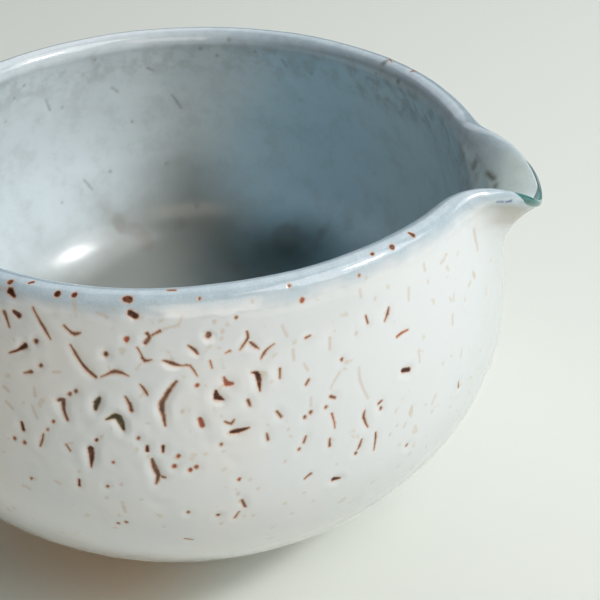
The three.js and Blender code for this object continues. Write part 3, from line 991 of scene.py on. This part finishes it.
def insideColour(paint, x, crest):
    # The inside is lightest on the wall away from the lip and darker and bluer towards the lip:
    # partly the glaze's colour, partly painted light and shade
    drift = paint.noise(grain["drift"], 4.0, 0.6) - 0.5
    lipHalf = paint.ease(x + drift * 0.03, -0.024, 0.010)
    greyDrift = (paint.noise(grain["greyDrift"], 3.0) - 0.5) * 0.03
    greyish = paint.ease(x + greyDrift, -0.042, -0.018)
    colour = paint.mix(greyish, glazeLook["milk"], glazeLook["grey"])
    blue = paint.mix(paint.ease(x, 0.012, 0.036), glazeLook["blue"], glazeLook["blueGrey"])
    colour = paint.mix(lipHalf, colour, blue)
    # painted light: paler inside the lip near its tip, where its face turns up to the light
    colour = paint.mix(paint.ease(x, 0.044, 0.055), colour, glazeLook["lipPaintedLight"])
    mottle = paint.ease(paint.noise(grain["mottle"], 5.0, 0.65), 0.42, 0.72)
    colour = paint.mix(mottle * 0.15, colour, glazeLook["stain"])

    # darker towards the bottom of the inside: pooled glaze and painted shade
    poolAndShade = paint.mix(lipHalf, glazeLook["poolAndShade"], glazeLook["poolAndShadeDark"])
    lean = paint.ease(x, -0.045, -0.012, -5, 10) - lipHalf * 24
    deep = paint.ease(crest + drift * 14 + lean, 28, 56)
    colour = paint.mix(deep, colour, poolAndShade)
    blotches = paint.ease(paint.noise(grain["blotches"], 2.0, 0.5), 0.56, 0.70)
    blotches = blotches * paint.ease(crest, 36, 46)
    colour = paint.mix(blotches * 0.35, colour, glazeLook["blotch"])
    # painted shadow: the darkest spot low on the far inner wall
    fromPaintedShadow = paint.vector("SUBTRACT", paint.place, paintedShadowSpot["middle"])
    fromPaintedShadow = paint.vector("MULTIPLY", fromPaintedShadow, paintedShadowSpot["squeeze"])
    fromPaintedShadow = paint.vector("LENGTH", fromPaintedShadow, None, "Value") + drift * 0.012
    paintedShadow = paint.ease(fromPaintedShadow, paintedShadowSpot["core"], paintedShadowSpot["edge"], 1, 0)
    return paint.mix(paintedShadow * 0.85, colour, glazeLook["paintedShadowDarkest"])


def stained(paint, body, x, crest, nearTip):
    # brown that soaked into thin glaze: inside the rim, in the lip and under its tip
    lipSide = paint.ease(x, 0.012, 0.030)
    stains = paint.ease(paint.noise(grain["stains"], 4.0, 0.6), 0.44, 0.62)
    nearRim = paint.ease(crest, 2.0, 4.5) * paint.ease(crest, 8.0, 14.0, 1, 0)
    share = stains * nearRim * (0.17 + lipSide * 0.18) * (1 - nearTip)
    body = paint.mix(share, body, glazeLook["stain"])
    soaked = paint.ease(paint.noise(grain["soaked"], 2.0, 0.5), 0.36, 0.62)
    inLip = paint.ease(x, 0.036, 0.043) * (1 - nearTip) * paint.ease(crest, 2.5, 6.0)
    body = paint.mix(inLip * soaked * 0.25, body, glazeLook["stain"])
    tip = paint.ease(x, 0.0465, 0.0525)
    underTip = tip * paint.ease(crest, -8.0, -5.5) * paint.ease(crest, -3.4, -2.6, 1, 0)
    return paint.mix(underTip * (0.15 + soaked * 0.35), body, glazeLook["underLip"])


def marksInGlaze(paint):
    # how much of the mark, of its halo and of its hollow a point is in, and the ink there
    gapA, widthA, inkA = nearStroke(paint, "A")
    gapB, widthB, inkB = nearStroke(paint, "B")
    second = gapB.calc("LESS_THAN", gapB, gapA)
    width = widthA + (widthB - widthA) * second
    tone, strength, soft = paint.parts(paint.mix(second, inkA, inkB))
    gap = gapA.calc("SMOOTH_MIN", gapA, gapB, 0.00012)
    ragged = (paint.noise(grain["raggedMarks"], 3.0) - 0.5) * (0.08 + width * 600)
    beyond = gap / mm + ragged  # mm past the mark's edge
    crisp = paint.ease(soft, 0.17, 0.2, 1, 0)
    core = paint.ease(beyond / soft, -1.0, 0.9, 1, 0) * strength
    halo = paint.ease(beyond, -0.02, 0.32, 1, 0) * strength * crisp
    heart = paint.ease(beyond, -0.26, 0.04, 1, 0)
    dip = paint.ease(beyond, -0.26, 0.14, 1, 0) * strength * crisp
    middle, outer = (
        paint.node(
            "ShaderNodeValToRGB",
            {"stops": list(zip((0, 0.2, 0.4, 0.6, 0.8, 1), glazeLook[inks]))},
            {0: tone},
        )
        for inks in ("inks", "inkEdges")
    )
    patchy = paint.ease(paint.noise(grain["patchyInk"], 3.0, 0.6), 0.48, 0.72)
    return core, halo, dip, paint.mix(heart * (1 - patchy * 0.6), outer, middle)


def crawledGlaze():
    paint = Paint("crawledGlaze")
    x, y, z = paint.parts(paint.place)
    crest = paint.attribute("fromCrest", "Fac")  # mm, below 0 outside
    fine = paint.noise(grain["fine"], 2.0, 0.6)
    cloud = paint.noise(grain["cloud"], 4.0, 0.55)
    nearTip = paint.ease(x, 0.044, 0.053)
    toRim = paint.ease(crest + (paint.noise(grain["rimEdge"], 4.0) - 0.5) * 3.2, -4.4, -1.6)
    toInside = crest + (paint.noise(grain["insideEdge"], 4.0) - 0.5) * 3.0 + nearTip * 3.0
    toInside = paint.ease(toInside, 1.2, 6.0)
    body = paint.mix(toRim, outsideColour(paint, x, z, cloud), rimColour(paint, x, y, fine))
    body = paint.mix(toInside, body, insideColour(paint, x, crest))
    body = stained(paint, body, x, crest, nearTip)

    core, halo, dip, ink = marksInGlaze(paint)
    body = paint.mix(halo * 0.6, body, glazeLook["halo"])
    colour = paint.mix(core, body, ink)

    rough = 0.06 + core * 0.4 + cloud * 0.06 + paint.ease(crest, 3.0, 12.0) * 0.13
    atRim = toRim * (1 - toInside)
    ripple = paint.noise(grain["ripples"], 3.0) * 0.02
    ripple = ripple + paint.noise(grain["rimRipples"], 2.0) * atRim * 0.10
    ripple = ripple + fine * (0.008 + atRim * 0.024) - dip * 0.32
    bump = paint.node(
        "ShaderNodeBump", None, {"Strength": 0.6, "Distance": 0.4 * mm, "Height": ripple}
    )
    return paint.finish(
        {
            "Base Color": colour,
            "Roughness": rough,
            "Normal": bump,
            "IOR": 1.52,
            "Coat Weight": 0.3 * (1 - core) * (1 - toInside),
            "Coat Roughness": 0.03,
        }
    )


def bareClay():
    paint = Paint("bareClay")
    patch = paint.noise(90, 5.0, 0.6)
    colour = paint.mix(
        paint.ease(patch, 0.3, 0.7), rgba(0.15, 0.08, 0.045), rgba(0.30, 0.18, 0.11)
    )
    grog = paint.ease(paint.noise(1600, 2.0), 0.62, 0.72)
    colour = paint.mix(grog * 0.6, colour, rgba(0.45, 0.36, 0.27))
    bump = paint.node(
        "ShaderNodeBump",
        None,
        {"Strength": 0.5, "Distance": 0.3 * mm, "Height": paint.noise(1400, 3.0)},
    )
    return paint.finish({"Base Color": colour, "Roughness": 0.82, "Normal": bump})


def pooledGlass():
    paint = Paint("pooledGlass")
    deep = paint.ease(paint.noise(220, 3.0), 0.3, 0.7)
    colour = paint.mix(deep, rgba(0.03, 0.15, 0.14), rgba(0.09, 0.27, 0.25))
    paler = paint.ease(paint.parts(paint.place)[1], -0.001, 0.003)  # on the far side of the lip
    colour = paint.mix(paler, colour, rgba(0.16, 0.25, 0.25))
    return paint.finish(
        {
            "Base Color": colour,
            "Roughness": 0.04,
            "IOR": 1.52,
            "Coat Weight": 0.5,
            "Coat Roughness": 0.02,
        }
    )


glazeMaterial, clayMaterial = crawledGlaze(), bareClay()
for piece, material, node, slot in (
    (outerCoat, glazeMaterial, "outer_glaze", "white_glaze"),
    (rimCoat, glazeMaterial, "rim_glaze", "rim_glaze"),
    (innerCoat, glazeMaterial, "inner_glaze", "inner_glaze"),
    (clayBody, clayMaterial, "clay_body", "bare_clay"),
    (footRing, clayMaterial, "foot_ring", "bare_clay"),
    (lipGlass, pooledGlass(), "lip_bead", "green_glass"),
):
    piece.data.materials.clear()
    piece.data.materials.append(material)
    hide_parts(node)
    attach(piece, "root")
print("materials on, and each piece in its node's place")

# Stage and light
stage = {
    "size": 4.0,  # m
    "floor": rgba(0.755, 0.785, 0.74),
    "underBelly": rgba(0.755, 0.63, 0.50),  # the painted warm shadow beside the foot, away from the lip
    "shadeFades": (0.038, 0.056),  # m from the foot's middle
}
deselectAll()
bpy.ops.mesh.primitive_plane_add(size=stage["size"], location=(0, 0, 0))
floor = bpy.context.object
floor.name = "floor"
floorPaint = Paint("paleFloor")
# Painted shadow: the floor is tinted warm beside the foot, away from the lip
fromFoot = floorPaint.vector("LENGTH", floorPaint.place, None, "Value")
shade = floorPaint.ease(fromFoot, *stage["shadeFades"], 1, 0)
shade = shade * floorPaint.ease(floorPaint.parts(floorPaint.place)[0], -0.004, 0.018, 1, 0)
floorColour = floorPaint.mix(shade, stage["floor"], stage["underBelly"])
floor.data.materials.append(
    floorPaint.finish({"Base Color": floorColour, "Roughness": 0.6, "Specular IOR Level": 0.2})
)

# Each lamp stands a metre or so off, turned from +X and raised by degrees, and looks at the
# middle of the pitcher
lights = {
    "window": {"turn": 0, "rise": 50, "off": 1.1, "size": (0.8, 0.8), "power": 6.0,  # W
               "colour": (1.0, 1.0, 1.0)},
    "pane": {"turn": 4, "rise": 46, "off": 1.0, "size": (0.16, 0.16), "power": 4.0,
             "colour": (1.0, 1.0, 1.0)},
    "sky": {"turn": 105, "rise": 47, "off": 1.2, "size": (1.4, 1.0), "power": 5.4,
            "colour": (0.94, 0.98, 1.0)},
    "front": {"turn": -65, "rise": 26, "off": 1.0, "size": (0.6, 0.6), "power": 2.2,
              "colour": (1.0, 0.87, 0.72)},
}
pitcherMiddle = Vector((0, 0, 40 * mm))
room = {"colour": (0.86, 0.95, 1.0, 1.0), "strength": 0.04}
for name, light in lights.items():
    data = bpy.data.lights.new(name, "AREA")
    data.shape = "RECTANGLE"
    data.size, data.size_y = light["size"]
    data.energy = light["power"]
    data.color = light["colour"]
    lamp = bpy.data.objects.new(name, data)
    turn, rise = math.radians(light["turn"]), math.radians(light["rise"])
    towards = Vector(
        (math.cos(rise) * math.cos(turn), math.cos(rise) * math.sin(turn), math.sin(rise))
    )
    lamp.location = pitcherMiddle + towards * light["off"]
    lamp.rotation_euler = (-towards).to_track_quat("-Z", "Y").to_euler()
    bpy.context.scene.collection.objects.link(lamp)

world = bpy.data.worlds.new("room")
bpy.context.scene.world = world
world.use_nodes = True
backdrop = world.node_tree.nodes["Background"]
backdrop.inputs["Color"].default_value = room["colour"]
backdrop.inputs["Strength"].default_value = room["strength"]
bpy.context.scene.view_settings.view_transform = "Standard"
print("stage lit")
